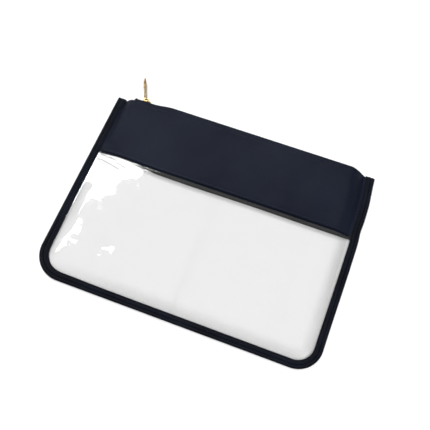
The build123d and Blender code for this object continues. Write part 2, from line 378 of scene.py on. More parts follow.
def dent(x, y, centre, size, depth):
    """Shallow dent: a bell curve across and a bell curve along."""
    return -depth * bump(x, centre[0], size[0]) * bump(y, centre[1], size[1])


def ripples(x, y):
    """Ripples that only show as the ragged edge of a mirror image, a dent and thin creases."""
    fine = 0.016 * np.sin(0.27 * x + 0.16 * y + 2.2) + 0.01 * np.sin(0.22 * x - 0.35 * y + 1)
    fine += 0.003 * np.sin(0.75 * y + 0.22 * x + 2)
    return fine + dent(x, y, *DENT) - sum(crease(x, y, *line) for line in CREASES)


def crease(x, y, start, end, width, depth):
    """Thin valley along a line: a bell curve of the distance from it, fading over 4 mm at both ends."""
    length = math.dist(start, end)
    ahead = ((end[0] - start[0]) / length, (end[1] - start[1]) / length)
    along = (x - start[0]) * ahead[0] + (y - start[1]) * ahead[1]
    away = (y - start[1]) * ahead[0] - (x - start[0]) * ahead[1]
    return depth * bump(away, 0, width) * smooth(along / 4) * smooth((length - along) / 4)


# %% Columns of one half of a sheet
def half_columns(side, inset, step):
    """Places across one half, from its sewn edge to the middle, and each column's low end."""
    radius = (LEFT_CORNER if side < 0 else RIGHT_CORNER) - inset
    width = HALF - inset
    count = max(8, round(0.5 * np.pi * radius / step))
    angle = np.linspace(0, 0.5 * np.pi, count, endpoint=False)
    corner_x = width - radius + radius * np.cos(angle)
    corner_low = BOTTOM + inset + radius * (1 - np.sin(angle))
    flat_x = np.linspace(width - radius, 0, max(4, round((width - radius) / step)))
    x = side * np.concatenate([corner_x, flat_x])
    low = np.concatenate([corner_low, np.full(len(flat_x), BOTTOM + inset)])
    return x, low


print("front height at the seam:", np.round(front_height(np.array([0.0]), np.array([SEAM])), 2), "mm")

# %% [markdown]
# ## Finishes
#
# Each finish is worked out by nodes from place, never from a picture. Woven nylon is a product of
# two sines, which is the up and down of a plain weave; ribbed tape is one sine along the tape. Soft
# noise varies shade and gloss, because a real bolt of cloth is never one colour.

# %% Node helpers
class Finish:
    """A material with short ways to add nodes and join them."""

    def __init__(self, name, colour, roughness, metallic=0.0, specular=0.5):
        self.material = bpy.data.materials.new(name)
        self.material.use_nodes = True
        self.tree = self.material.node_tree
        self.shader = self.tree.nodes["Principled BSDF"]
        self.shader.inputs["Base Color"].default_value = (*colour, 1.0)
        self.shader.inputs["Roughness"].default_value = roughness
        self.shader.inputs["Metallic"].default_value = metallic
        self.shader.inputs["Specular IOR Level"].default_value = specular

    def add(self, kind, **inputs):
        """New node; inputs are set by name, and a socket given as a value is linked."""
        node = self.tree.nodes.new(kind)
        for key, value in inputs.items():
            socket = node.inputs[int(key[1:])] if key[0] == "_" else node.inputs[key]
            if isinstance(value, bpy.types.NodeSocket):
                self.tree.links.new(value, socket)
            else:
                socket.default_value = value
        return node

    def math(self, operation, a, b=0.0):
        """Result of one arithmetic step."""
        node = self.add("ShaderNodeMath", _0=a, _1=b)
        node.operation = operation
        return node.outputs[0]

    def place(self, source="Object"):
        """Coordinates of the surface, in metres for Object and in millimetres for UV."""
        return self.add("ShaderNodeTexCoord").outputs[source]

    def axes(self, source="Object"):
        """The coordinates' separate axes."""
        return self.add("ShaderNodeSeparateXYZ", _0=self.place(source)).outputs

    def wave(self, axis, pitch):
        """Sine of a coordinate, one turn for each pitch."""
        return self.math("SINE", self.math("MULTIPLY", axis, 2 * math.pi / pitch))

    def noise(self, scale, detail=3.0, source="Object"):
        """Soft noise from 0 to 1, scale features for each unit."""
        node = self.add("ShaderNodeTexNoise", Vector=self.place(source), Scale=scale, Detail=detail)
        return node.outputs["Fac"]

    def spread(self, value, low, high, start=0.3, end=0.7):
        """Value moved from its usual span to low ... high."""
        node = self.add("ShaderNodeMapRange", _0=value, _1=start, _2=end, _3=low, _4=high)
        return node.outputs[0]

    def shade(self, value, dark, light):
        """Colour between two shades, by a value, into the base colour."""
        node = self.add("ShaderNodeMix")
        node.data_type = "RGBA"
        node.inputs[6].default_value = (*dark, 1.0)
        node.inputs[7].default_value = (*light, 1.0)
        self.tree.links.new(value, node.inputs[0])
        self.tree.links.new(node.outputs[2], self.shader.inputs["Base Color"])
        return node.outputs[2]

    def gloss(self, value):
        """Roughness from a value."""
        self.tree.links.new(value, self.shader.inputs["Roughness"])

    def relief(self, height, depth):
        """Bump of a given depth in metres."""
        node = self.add("ShaderNodeBump", Height=height, Distance=depth)
        self.tree.links.new(node.outputs[0], self.shader.inputs["Normal"])


def plain_weave(finish, pitch):
    """Over and under of a plain weave: the product of a sine across and a sine along."""
    x, y, _ = finish.axes()
    return finish.math("MULTIPLY", finish.wave(x, pitch), finish.wave(y, pitch))


# %% Nylon of the bands
WEAVE = 0.7


def band_finish():
    """Tightly woven coated nylon: near black navy with a soft gloss."""
    f = Finish("band_nylon", (0.016, 0.019, 0.028), 0.42, specular=0.1)
    weave = plain_weave(f, WEAVE * MM)
    cloud = f.noise(11.0, 3.0)
    tone = f.spread(f.math("ADD", f.math("MULTIPLY", weave, 0.12), cloud), 0.0, 1.0)
    f.shade(tone, (0.003, 0.0046, 0.011), (0.0082, 0.0112, 0.0215))
    f.gloss(f.spread(f.math("ADD", f.math("MULTIPLY", weave, 0.06), f.noise(90.0)), 0.36, 0.5))
    creases = f.math("MULTIPLY", f.noise(70.0, 4.0), 0.9)
    f.relief(f.math("ADD", f.math("MULTIPLY", weave, 0.5), f.math("MULTIPLY", creases, 3.0)), 0.09 * MM)
    return f.material


# %% Ribbed tape of the binding
def binding_finish():
    """Ribbed nylon tape: fine ribs across the tape, read along its own length, with painted shade along its
    outer fold, tuck and stitched valley.
    """
    f = Finish("binding_nylon", (0.010, 0.012, 0.021), 0.5, specular=0.1)
    along, across, _ = f.axes("UV")
    ribs = f.wave(along, 0.75)
    threads = f.wave(across, 0.4)
    cloth = f.math("ADD", ribs, f.math("MULTIPLY", threads, 0.35))
    tone = f.math("ADD", f.math("MULTIPLY", cloth, 0.1), f.noise(35.0, 3.0))
    # Painted shade: the tone is darkened in narrow lines along the outer fold, the tuck and the stitched
    # valley, where shade falls.
    for inset in (0.6, TUCK_INSET, VALLEY_INSET):
        away = f.math("ABSOLUTE", f.math("ADD", across, inset))
        tone = f.math("SUBTRACT", tone, f.spread(away, 0.45, 0.0, 0.0, 0.9))
    f.shade(f.spread(tone, 0.0, 1.0, 0.0, 0.7), (0.001, 0.0013, 0.0025), (0.0055, 0.007, 0.0135))
    f.gloss(f.spread(f.noise(160.0), 0.42, 0.58))
    f.relief(cloth, 0.05 * MM)
    return f.material


# %% Thread, zip tape, coil and seam cloth
def thread_finish():
    """Twisted polyester thread: slanting plies along each stitch."""
    f = Finish("thread", (0.012, 0.014, 0.022), 0.45, specular=0.25)
    along, across, _ = f.axes("UV")
    ply = f.wave(f.math("ADD", along, f.math("MULTIPLY", across, 0.6)), 0.55)
    f.shade(f.spread(ply, 0.0, 1.0, -1.0, 1.0), (0.006, 0.007, 0.011), (0.026, 0.03, 0.04))
    f.gloss(f.spread(f.noise(400.0), 0.38, 0.52))
    f.relief(ply, 0.05 * MM)
    return f.material


def tape_finish():
    """Herringbone tape: a twill whose slant turns every millimetre and a half."""
    f = Finish("zip_tape", (0.012, 0.014, 0.02), 0.6, specular=0.2)
    x, y, z = f.axes()
    fold = f.math("PINGPONG", f.math("ADD", y, z), 1.5 * MM)
    twill = f.wave(f.math("ADD", x, fold), 0.8 * MM)
    f.shade(f.spread(twill, 0.0, 1.0, -1.0, 1.0), (0.003, 0.004, 0.006), (0.009, 0.010, 0.014))
    f.gloss(f.spread(f.noise(200.0), 0.52, 0.66))
    f.relief(twill, 0.07 * MM)
    return f.material


def moulded_finish(name, grains, dark, light, satin):
    """Moulded nylon, satin black; grains are the noise scales of its tone, gloss and relief."""
    f = Finish(name, light, satin[0])
    f.shade(f.spread(f.noise(grains[0]), 0.0, 1.0), dark, light)
    f.gloss(f.spread(f.noise(grains[1]), *satin))
    f.relief(f.noise(grains[2]), 0.02 * MM)
    return f.material


def seam_finish():
    """Folded nylon at the seams: slanting rows where the overcast thread pulls the cloth; the rows' lighter
    crests are a painted highlight.
    """
    f = Finish("seam_nylon", (0.014, 0.016, 0.022), 0.5, specular=0.2)
    x, y, _ = f.axes()
    slant = f.wave(f.math("SUBTRACT", x, f.math("MULTIPLY", y, 0.8)), STITCH_PITCH * MM)
    weave = plain_weave(f, WEAVE * MM)
    # Painted highlight: the tone follows the ridges' slanting sine, lighter on each crest; the noise is the
    # cloth's own uneven tone.
    tone = f.math("ADD", slant, f.math("MULTIPLY", f.noise(260.0), 1.2))
    f.shade(f.spread(tone, 0.0, 1.0, -0.3, 1.5), (0.001, 0.0015, 0.002), (0.0055, 0.0072, 0.0095))
    f.gloss(f.spread(f.noise(240.0), 0.42, 0.6))
    f.relief(f.math("ADD", slant, f.math("MULTIPLY", weave, 0.3)), 0.1 * MM)
    return f.material


# %% [markdown]
# ### Gold plating and clear vinyl
#
# Plated zinc is a metal with a warm colour, small polishing marks and a duller tone in patches.
#
# Vinyl is the finish that makes this bag. A glass shader would bend and blur what lies behind at
# every surface; sheet this thin doesn't. So it is a mix: mostly a slightly grey transparent
# surface, a reflection that strengthens at a glancing angle, and a trace of haze. Where the sheet
# slopes it is made a little darker: that is painted shade, standing in for the shade that falls
# along the window's sewn edges. Only the outer faces carry a full mirror image. The inner faces
# cling together, and a second mirror there would double every highlight.

# %% Gold plating
def gold_finish():
    """Polished light gold plating with faint polishing marks."""
    f = Finish("gold_metal", (0.6, 0.44, 0.22), 0.26, metallic=1.0)
    marks = f.noise(900.0, 4.0)
    f.shade(f.spread(f.noise(220.0, 2.0), 0.0, 1.0), (0.26, 0.175, 0.065), (0.5, 0.36, 0.16))
    f.gloss(f.spread(marks, 0.2, 0.36))
    f.relief(marks, 0.01 * MM)
    return f.material


# %% Clear vinyl
VINYL_TINT = (0.9575, 0.9575, 0.957)
VINYL_HAZE = 0.006
# The slope shade is painted shade: the tint's share where the sheet slopes most.
SLOPE_PAINTED_SHADE = 0.925
OUTSIDE_MIRROR, INSIDE_MIRROR = 1.7, 0.1


def vinyl_finish(name, mirror, colour=VINYL_TINT):
    """Clear sheet: a transparent surface mixed with gloss by its Fresnel share, and faint haze; painted
    shade darkens it where it slopes.
    """
    f = Finish(name, (0.9, 0.91, 0.92), 0.06)
    f.gloss(f.spread(f.noise(120.0, 4.0), 0.03, 0.09))
    f.relief(f.noise(55.0, 2.0), 0.04 * MM)
    # Painted shade: the see-through tint is darker where the sheet slopes, standing in for the shade along
    # its sewn edges.
    level = f.math("ABSOLUTE", f.axes("Normal")[2])
    depth = f.spread(level, 0.91, 1.0, SLOPE_PAINTED_SHADE, 1.0)
    tint = f.add("ShaderNodeVectorMath", _0=colour, _3=depth)
    tint.operation = "SCALE"
    clear = f.add("ShaderNodeBsdfTransparent", Color=tint.outputs[0])
    facing = f.math("SUBTRACT", 1.0, f.add("ShaderNodeNewGeometry").outputs["Backfacing"])
    fresnel = f.add("ShaderNodeFresnel", IOR=1.5).outputs[0]
    share = f.math("MULTIPLY", f.math("MULTIPLY", fresnel, mirror), facing)
    haze = f.spread(f.noise(60.0, 3.0), VINYL_HAZE * 0.6, VINYL_HAZE * 1.4)
    glossy = f.add("ShaderNodeBsdfGlossy", Color=(1.0, 1.0, 1.0, 1.0), Roughness=0.04)
    shiny = f.add("ShaderNodeMixShader", _0=share, _1=clear.outputs[0], _2=glossy.outputs[0])
    both = f.add("ShaderNodeMixShader", _0=haze, _1=shiny.outputs[0], _2=f.shader.outputs[0])
    f.tree.links.new(both.outputs[0], f.tree.nodes["Material Output"].inputs["Surface"])
    return f.material


# %% Floor paint and the set of finishes
def floor_finish():
    """Matte white board with a trace of unevenness."""
    f = Finish("floor", (0.9, 0.9, 0.9), 0.9, specular=0.1)
    f.shade(f.spread(f.noise(3.0), 0.0, 1.0), (0.895, 0.895, 0.9), (0.905, 0.905, 0.905))
    return f.material


BAND, BINDING, THREAD = band_finish(), binding_finish(), thread_finish()
TAPE, SEAM_CLOTH = tape_finish(), seam_finish()
COIL = moulded_finish("zip_coil", (300, 700, 2500), (0.01, 0.012, 0.017), (0.02, 0.022, 0.03), (0.3, 0.46))
STOPS = moulded_finish("stops", (500, 900, 3000), (0.011, 0.012, 0.016), (0.02, 0.021, 0.026), (0.42, 0.58))
GOLD = gold_finish()
VINYL = vinyl_finish("clear_vinyl", OUTSIDE_MIRROR)
VINYL_INSIDE = vinyl_finish("clear_vinyl_inside", INSIDE_MIRROR)
# The joint's tint undoes the painted slope shade, so the rims where the halves meet stay clear.
VINYL_JOINT = vinyl_finish("clear_vinyl_joint", 0.0, (1 / SLOPE_PAINTED_SHADE,) * 3)
floor.data.materials.append(floor_finish())
print("finishes:", [m.name for m in (BAND, BINDING, THREAD, TAPE, COIL, SEAM_CLOTH, STOPS, GOLD, VINYL)])


# %% Putting pieces in place
def dress(piece, material, slot, *nodes):
    """Gives a piece its finish and hides the plain solids that it stands for; slot is not used."""
    piece.data.materials.append(material)
    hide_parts(*nodes)
    return piece


def line_inside(window, outer_up):
    """Inside finish for the inner face; a quite clear one for the rims where two halves meet."""
    mesh = window.data
    mesh.materials.append(VINYL_INSIDE)
    mesh.materials.append(VINYL_JOINT)
    normals = np.zeros(3 * len(mesh.polygons))
    mesh.polygons.foreach_get("normal", normals)
    across, _, up = normals.reshape(-1, 3).T
    outside = up > 0.3 if outer_up else up < -0.3
    joint = np.abs(across) > 0.9
    mesh.polygons.foreach_set("material_index", np.where(joint, 2, np.where(outside, 0, 1)))


def gape(piece):
    """Bakes a front piece's placement into its mesh; nothing here makes it open or bend."""
    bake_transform(piece)


HALVES = ((-1, "left"), (1, "right"))

# %% [markdown]
# ## Binding
#
# The binding is one nylon tape folded over the sheets' raw edges. Its section has a round outer
# fold, a flat underside and a thin inner edge, and the stitch row pulls a narrow valley into it. The
# section is carried round the U; along the valley the cloth puckers once for every stitch.

# %% Binding


def tape_reach(station, total):
    """Share of the usual width: more round the left corner, and flared at the two raw ends."""
    flare = bump(station, 0, 6) + bump(station, total, 6)
    return 1 + 0.14 * bump(station, 192, 46) + 0.16 * flare


def binding_section(inset, station):
    """Top height: a quarter ellipse over the fold, then flat, less a stitched valley and a tuck."""
    fold = np.sqrt(np.clip(1 - (1 - np.clip(inset / 2.0, 0, 1)) ** 2, 0, 1))
    crown = 1.5 + 1.4 * fold - 0.5 * smooth((inset - 7.0) / 1.0)
    pucker = 1 + 0.45 * np.sin(2 * np.pi * station / STITCH_PITCH)
    valley = 0.6 * bump(inset, VALLEY_INSET, 0.6) * pucker
    tuck = 0.5 * bump(inset, TUCK_INSET, 0.5)
    swell = 0.1 * np.sin(station * 0.11) * np.sin(station * 0.037 + 1)
    return crown - valley - tuck + swell * fold


def build_binding():
    """Section carried round the U: a loop of insets over the top and back underneath."""
    points, normals, length = u_path(STITCH_PITCH / 4)
    over = np.array([8.0, 7.7, 7.2, 6.8, 6.5, 6.2, 5.8, 5.0, 4.0, 3.4, 2.8, 2.0, 1.2, 0.6, 0.2, 0.0])
    under = np.array([0.25, 0.9, 2.0, 5.0, 7.4, 8.0])
    top = binding_section(over[None, :], length[:, None])
    low = np.tile(1.5 - 1.48 * np.sqrt(1 - (1 - np.clip(under / 1.2, 0, 1)) ** 2), (len(length), 1))
    insets = np.concatenate([over, under])
    reach = insets[None, :] * tape_reach(length, length[-1])[:, None]
    plan = points[:, None, :] + reach[..., None] * normals[:, None, :]
    rings = np.concatenate([lean_in(plan), np.concatenate([top, low], 1)[..., None]], -1)
    around = np.concatenate([-insets[: len(over)], insets[len(over):], [insets[0] + 8]])
    return tube("edge_binding_tape", rings, length, around)


binding = dress(build_binding(), BINDING, "binding_nylon", "edge_binding")
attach(binding, "bag")
print("binding:", len(binding.data.polygons), "faces")

# %% [markdown]
# ## Stitches
#
# A stitch row is real thread, not a drawn line: each stitch is a short bead that dips into the cloth
# at both ends. The bead is worked out once and set down along the row with whole-array arithmetic.

# %% Stitches
def bead(length, width):
    """Rings of one stitch: the radius swells as a sine between its two ends, on a low arch."""
    t = np.linspace(0, 1, 7)
    turn = np.linspace(0, 2 * np.pi, 6, endpoint=False)
    radius = width / 2 * (0.35 + 0.65 * np.sin(np.pi * t))
    along = (t - 0.5) * length
    lift = 0.1 * np.sin(np.pi * t)
    side = radius[:, None] * np.cos(turn)
    up = radius[:, None] * np.sin(turn) * 0.8 + lift[:, None]
    return np.stack([np.broadcast_to(along[:, None], side.shape), side, up], -1)


def stitch_row(name, centres, heads, ups, length=2.3, width=0.42):
    """Beads at the centres, each turned to its heading and its up direction."""
    rings = bead(length, width)
    stations, ring = rings.shape[:2]
    sides = np.cross(ups, heads)
    axes = np.stack([heads, sides, ups], 1)
    points = centres[:, None, :] + rings.reshape(1, -1, 3) @ axes
    index = np.arange(stations * ring).reshape(stations, ring)
    quads = grid_quads(np.concatenate([index, index[:, :1]], axis=1))
    caps = [index[0, ::-1].tolist(), index[-1].tolist()]
    faces, uv = [], []
    around = np.broadcast_to(np.arange(ring), (stations, ring))
    flow = np.stack([rings[..., 0], around], -1).reshape(-1, 2)
    local = [*quads.tolist(), *caps]
    local_uv = np.concatenate([flow[f] for f in local])
    for start in range(0, len(centres) * stations * ring, stations * ring):
        faces += [[start + i for i in f] for f in local]
        uv.append(local_uv)
    return finish_mesh(name, points.reshape(-1, 3), faces, np.concatenate(uv))


def surface_row(name, x, y, height, sink):
    """Stitches along X on a surface given by its height, headed and tilted as the surface is."""
    step = 0.5
    z = height(x, y) - sink
    rise = height(x + step, y) - height(x - step, y)
    heads = np.stack([np.full_like(x, 2 * step), np.zeros_like(x), rise], -1)
    heads /= np.linalg.norm(heads, axis=1, keepdims=True)
    slope = (height(x, y + step) - height(x, y - step)) / (2 * step)
    ups = np.stack([np.zeros_like(x), -slope, np.ones_like(x)], -1)
    ups -= (ups * heads).sum(1, keepdims=True) * heads
    ups /= np.linalg.norm(ups, axis=1, keepdims=True)
    return stitch_row(name, np.stack([x, y, z], -1), heads, ups)


def build_binding_thread():
    """Row round the U in the binding's valley."""
    points, normals, length = u_path(0.5)
    at = np.arange(2.0, length[-1] - 1.5, STITCH_PITCH)
    plan = lean_in(points + VALLEY_INSET * tape_reach(length, length[-1])[:, None] * normals)
    x, y = (np.interp(at, length, plan[:, k]) for k in range(2))
    ahead = np.stack([np.interp(at + 0.5, length, plan[:, k]) for k in range(2)], -1)
    ahead -= np.stack([x, y], -1)
    ahead /= np.linalg.norm(ahead, axis=1, keepdims=True)
    heads = np.concatenate([ahead, np.zeros((len(at), 1))], 1)
    ups = np.tile([0.0, 0.0, 1.0], (len(at), 1))
    z = binding_section(VALLEY_INSET, at) + 0.05
    return stitch_row("binding_stitches", np.stack([x, y, z], -1), heads, ups)


binding_stitches = dress(build_binding_thread(), THREAD, "thread", "binding_thread")
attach(binding_stitches, "bag")
print("binding stitches:", len(binding_stitches.data.polygons) // 38)

# %% [markdown]
# ## Windows and bands
#
# Front and back are each two sheets, joined at a seam. The front is built a half at a time: when
# the zip is open its middle lifts while its sides stay sewn, though nothing here makes a half bend.
#
# The seam is a narrow groove. Just above it the band is puffed by the folded cloth inside and
# gathered a little by its stitches. At the top the band is turned under, so its edge is a round
# fold; its outline sags beside the slider and slants down to the binding at both ends.

# %% Front window
VINYL_THICK = 0.4
NYLON_THICK = 0.35
SHEET_INSET = 5.0
SEAM_GAP = 0.9
WINDOW_CUT = SEAM - BOTTOM - SHEET_INSET
FOLD_R = 0.5
HEM = 7.0


def seam_groove(distance):
    """Depth of the groove at a distance from the seam, as a falling exponential."""
    return 1.3 * np.exp(-distance / 0.9)


def build_front_window(side, name):
    """One half of the vinyl, from its curved lower edge to the seam."""
    step = 0.8 if side < 0 else 1.1
    x, low = half_columns(side, SHEET_INSET, step)
    t = np.linspace(0, 1, round(WINDOW_CUT / step))[:, None]
    y = low[None, :] + t * (seam_at(x) - SEAM_GAP - low)[None, :]
    x = np.broadcast_to(x[None, :], y.shape)
    z = front_height(x, y) - seam_groove(seam_at(x) - y)
    return thick_sheet("front_window_" + name, lean_in(np.stack([x, y, z], -1)), VINYL_THICK)


for side, name in HALVES:
    window = dress(build_front_window(side, name), VINYL, "clear_vinyl", "front_clear_panel")
    line_inside(window, True)
    gape(window)
    print(window.name, len(window.data.polygons), "faces")

# %% Front band
SEAM_ROW = 3.0
EDGE_PROUD, EDGE_SAG = 0.6, 2.5


def band_edge(x):
    """Top outline: level in the middle, lower beside the slider, slanting down at both ends."""
    sag = EDGE_SAG * smooth((-x - 78) / 22.0)
    left = 2.6 * (1 - smooth((x + 122) / 6)) + 1.2 * smooth((-x - 124) / 8)
    right = 2.4 * np.clip((x - 115.5) / 15, 0, 1)
    return EDGE + EDGE_PROUD - sag - left - right


def gathers(x, y):
    """Small puckers above the seam, one for every two stitches, fading within a centimetre."""
    above = y - seam_at(x)
    near = np.exp(-np.clip(above, 0, None) / 4.5)
    pucker = np.sin(np.pi * x / STITCH_PITCH + 1.3 * np.sin(0.05 * x))
    pucker *= 0.6 + 0.4 * np.sin(0.031 * x)
    fold = 0.6 * bump(above, 1.1, 0.75)
    dip = 0.28 * bump(above, SEAM_ROW, 0.6)
    top = 0.22 * bump(y, EDGE - 5.0, 0.7)
    return 0.1 * near * pucker + fold - dip - top


def band_height(x, y):
    """Outside of the front band."""
    return front_height(x, y) + gathers(x, y)


def hem_rows(x, edge, start_z, way):
    """Half circle over the edge, then a flat hem below it; way is 1 for a hem that turns upwards."""
    turn = np.linspace(0, np.pi, 7)[1:, None]
    wide = np.broadcast_to(x, (6, len(x)))
    over = start_z + way * FOLD_R * (1 - np.cos(turn))
    fold = np.stack([wide, edge + FOLD_R * np.sin(turn), over], -1)
    back = np.linspace(0, HEM, 6)[1:, None]
    level = np.broadcast_to(start_z + way * 2 * FOLD_R, (5, len(x)))
    return fold, np.stack([wide[1:], edge - back, level], -1)


def build_front_band(side, name):
    """One half: up from the groove, over a round fold at the top, and back under as a hem."""
    x, _ = half_columns(side, SHEET_INSET, 1.1)
    edge = band_edge(x)[None, :] - FOLD_R
    t = np.linspace(0, 1, 66)[:, None]
    y = seam_at(x) + t * (edge - seam_at(x))
    flat_x = np.broadcast_to(x[None, :], y.shape)
    main = np.stack([flat_x, y, band_height(flat_x, y) - seam_groove(y - seam_at(x))], -1)
    top_z = main[-1, :, 2][None, :]
    points = np.concatenate([main, *hem_rows(x, edge, top_z, -1)])
    return thick_sheet("front_band_" + name, lean_in(points), NYLON_THICK)


for side, name in HALVES:
    band = dress(build_front_band(side, name), BAND, "band_nylon", "front_nylon_band")
    gape(band)
    print(band.name, len(band.data.polygons), "faces")

# %% [markdown]
# The back sheets lie on the ground. They rise only under the binding, and the back band is hemmed
# at the zip like the front one, so the two edges stand opposite each other.

# %% Back sheets
def back_height(x, y):
    """Underside of the back: on the ground, rising a little where the binding holds it."""
    right_rim = RIM - RIGHT_LEAN * (y - BOTTOM) / (RIGHT_END - BOTTOM)
    near = np.minimum(np.minimum(x + RIM, right_rim - x), y - BOTTOM - BINDING_WIDTH)
    return 0.08 + 0.75 * (1 - smooth((near + 1.0) / 5.0)) + 0.05 * np.sin(0.07 * x) * np.sin(0.09 * y)


def whole_columns(inset, step):
    """Both halves' columns as one run from left to right."""
    left_x, left_low = half_columns(-1, inset, step)
    right_x, right_low = half_columns(1, inset, step)
    return np.concatenate([left_x, right_x[-2::-1]]), np.concatenate([left_low, right_low[-2::-1]])


def build_back_window():
    """Vinyl of the back, in one piece."""
    x, low = whole_columns(SHEET_INSET, 1.6)
    t = np.linspace(0, 1, 90)[:, None]
    y = low[None, :] + t * (seam_at(x) - low)[None, :]
    x = np.broadcast_to(x[None, :], y.shape)
    z = back_height(x, y) + VINYL_THICK
    return thick_sheet("back_window", lean_in(np.stack([x, y, z], -1)), VINYL_THICK)


def build_back_band():
    """Nylon of the back: flat, then folded up and in at the top as a hem."""
    x, _ = whole_columns(SHEET_INSET, 1.6)
    edge = band_edge(x)[None, :] - FOLD_R
    t = np.linspace(0, 1, 46)[:, None]
    y = seam_at(x) + t * (edge - seam_at(x))
    flat_x = np.broadcast_to(x[None, :], y.shape)
    main = np.stack([flat_x, y, back_height(flat_x, y)], -1)
    low_z = main[-1, :, 2][None, :]
    points = np.concatenate([main, *hem_rows(x, edge, low_z, 1)])
    return thick_sheet("back_band", lean_in(points), -NYLON_THICK)


back_window = dress(build_back_window(), VINYL, "clear_vinyl", "back_clear_panel")
line_inside(back_window, False)
back_band = dress(build_back_band(), BAND, "band_nylon", "back_nylon_band")
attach(back_window, "bag")
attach(back_band, "bag")
print("back:", len(back_window.data.polygons), len(back_band.data.polygons), "faces")

# %% [markdown]
# ## Seam allowances
#
# Where window meets band, a strip of folded nylon hangs below the seam on the inside and shows
# through the vinyl. Its overcast edge gives it slanting ridges, which are part of its shape.

# %% Seam allowances
STRIP_LOW, STRIP_HIGH = box_mm("front_seam_strip")[0][1], box_mm("front_seam_strip")[1][1]
STRIP_THICK = 0.35


def strip_relief(x, y):
    """Slanting ridges, one for each overcast stitch."""
    return 0.09 * np.sin(2 * np.pi * (x - 0.8 * y) / STITCH_PITCH)


def strip_grid(x):
    """Plan of a strip: its lower edge wavers a little along its length."""
    low = STRIP_LOW + 2.3 + 0.3 * np.sin(0.045 * x) + 0.3 * smooth((x - 30) / 80) + seam_at(x) - SEAM
    t = np.linspace(0, 1, 15)[:, None]
    y = low[None, :] + t * (STRIP_HIGH + seam_at(x) - SEAM - low)[None, :]
    return np.broadcast_to(x[None, :], y.shape), y


def build_front_strip(side, name):
    """One half of the strip behind the front seam."""
    x, y = strip_grid(side * np.linspace(RIM + 1.5, 0, 260))
    under = front_height(x, y) - VINYL_THICK
    grooved = under - seam_groove(np.abs(seam_at(x) - y)) - 0.22 + strip_relief(x, y)
    z = np.minimum(grooved, under - 0.1)
    return thick_sheet("front_seam_allowance_" + name, lean_in(np.stack([x, y, z], -1)), STRIP_THICK)


def build_back_strip():
    """The strip inside the back seam."""
    x, y = strip_grid(np.linspace(-RIM - 1.0, RIM + 0.5, 520))
    z = back_height(x, y) + VINYL_THICK + 0.15 + STRIP_THICK + strip_relief(x, y)
    return thick_sheet("back_seam_allowance", lean_in(np.stack([x, y, z], -1)), STRIP_THICK)


for side, name in HALVES:
    strip = dress(build_front_strip(side, name), SEAM_CLOTH, "seam_nylon", "front_seam_strip")
    gape(strip)
back_strip = dress(build_back_strip(), SEAM_CLOTH, "seam_nylon", "back_seam_strip")
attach(back_strip, "bag")
print("strips:", round(STRIP_LOW, 1), "to", round(STRIP_HIGH, 1), "mm")

# %% Topstitching
ZIP_ROW = 5.6


def row_places(side, reach):
    """Stitch places of one half, a stitch apart, counted out from half a pitch off the middle."""
    return side * np.arange(0.5 * STITCH_PITCH, reach, STITCH_PITCH)


for side, name in HALVES:
    x = row_places(side, RIM - 2)
    seam_row = surface_row("front_seam_stitches_" + name, x, seam_at(x) + SEAM_ROW, band_height, 0.03)
    gape(dress(seam_row, THREAD, "thread", "front_seam_thread"))
    x = row_places(side, 117)
    zip_row = surface_row("front_zip_stitches_" + name, x, band_edge(x) - ZIP_ROW, band_height, 0.03)
    gape(dress(zip_row, THREAD, "thread", "front_zip_thread"))


def build_back_rows():
    """Inner stitches of the back seam and of the back tape."""
    x = np.arange(-RIM + 4, RIM - 4, STITCH_PITCH)
    seam = surface_row("back_seam_stitches", x, seam_at(x) + SEAM_ROW,
                       lambda a, b: back_height(a, b) + VINYL_THICK + 0.2 + STRIP_THICK, 0.0)
    x = np.arange(-117, 113, STITCH_PITCH)
    zipped = surface_row("back_zip_stitches", x, band_edge(x) - ZIP_ROW,
                         lambda a, b: back_height(a, b) + 1.75, 0.0)
    return seam, zipped


back_rows = build_back_rows()
for row, node in zip(back_rows, ("back_seam_thread", "back_zip_thread")):
    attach(dress(row, THREAD, "thread", node), "bag")
print("rows of stitches: 6")

# %% [markdown]
# ## Zip
#
# Each half of the zip is a woven tape and a nylon coil sewn to its edge. The tape lies on its band,
# turns a right angle and carries the coil in the middle of the bag's thickness. The coil is a
# filament wound as a flat helix; the two coils are half a turn out of step, so that their heads
# pass each other. They stand apart where the slider's post comes between them at either end.

# %% Zip tapes
TAPE_LEFT, TAPE_RIGHT = box_mm("back_zipper_tape")[0][0], box_mm("back_zipper_tape")[1][0]
TAPE_THICK = 0.35
TAPE_WIDTH = 10.0
TAPE_TURN = 0.9


def tape_profile():
    """Back tape across its width: flat on the band, a quarter circle, then up to the coil."""
    z0 = box_mm("back_zipper_tape")[0][2] + 0.85
    flat = np.stack([np.linspace(ZIP_Y - TAPE_WIDTH, ZIP_Y - TAPE_TURN, 8), np.full(8, z0)], -1)
    turn = np.linspace(0, 0.5 * np.pi, 6)[1:]
    bend_y = ZIP_Y - TAPE_TURN + TAPE_TURN * np.sin(turn)
    bend = np.stack([bend_y, z0 + TAPE_TURN * (1 - np.cos(turn))], -1)
    up = np.stack([np.full(4, ZIP_Y), np.linspace(z0 + TAPE_TURN, ZIP_Z - 1.0, 5)[1:]], -1)
    return np.concatenate([flat, bend, up])


def build_tape(name, x, flipped):
    """Profile carried along X, thick to both sides; the front tape is the back one mirrored."""
    profile = tape_profile()
    y = np.broadcast_to(profile[:, 0][:, None], (len(profile), len(x)))
    wave = 0.06 * np.sin(0.21 * x)[None, :] * (y < ZIP_Y - 3)
    z = np.broadcast_to(profile[:, 1][:, None], y.shape) + wave
    z = 2 * ZIP_Z - z if flipped else z
    points = np.stack([np.broadcast_to(x[None, :], y.shape), y, z], -1)
    offset = 0.5 * TAPE_THICK * grid_normals(points)
    return sheet_shell(name, points + offset, points - offset)


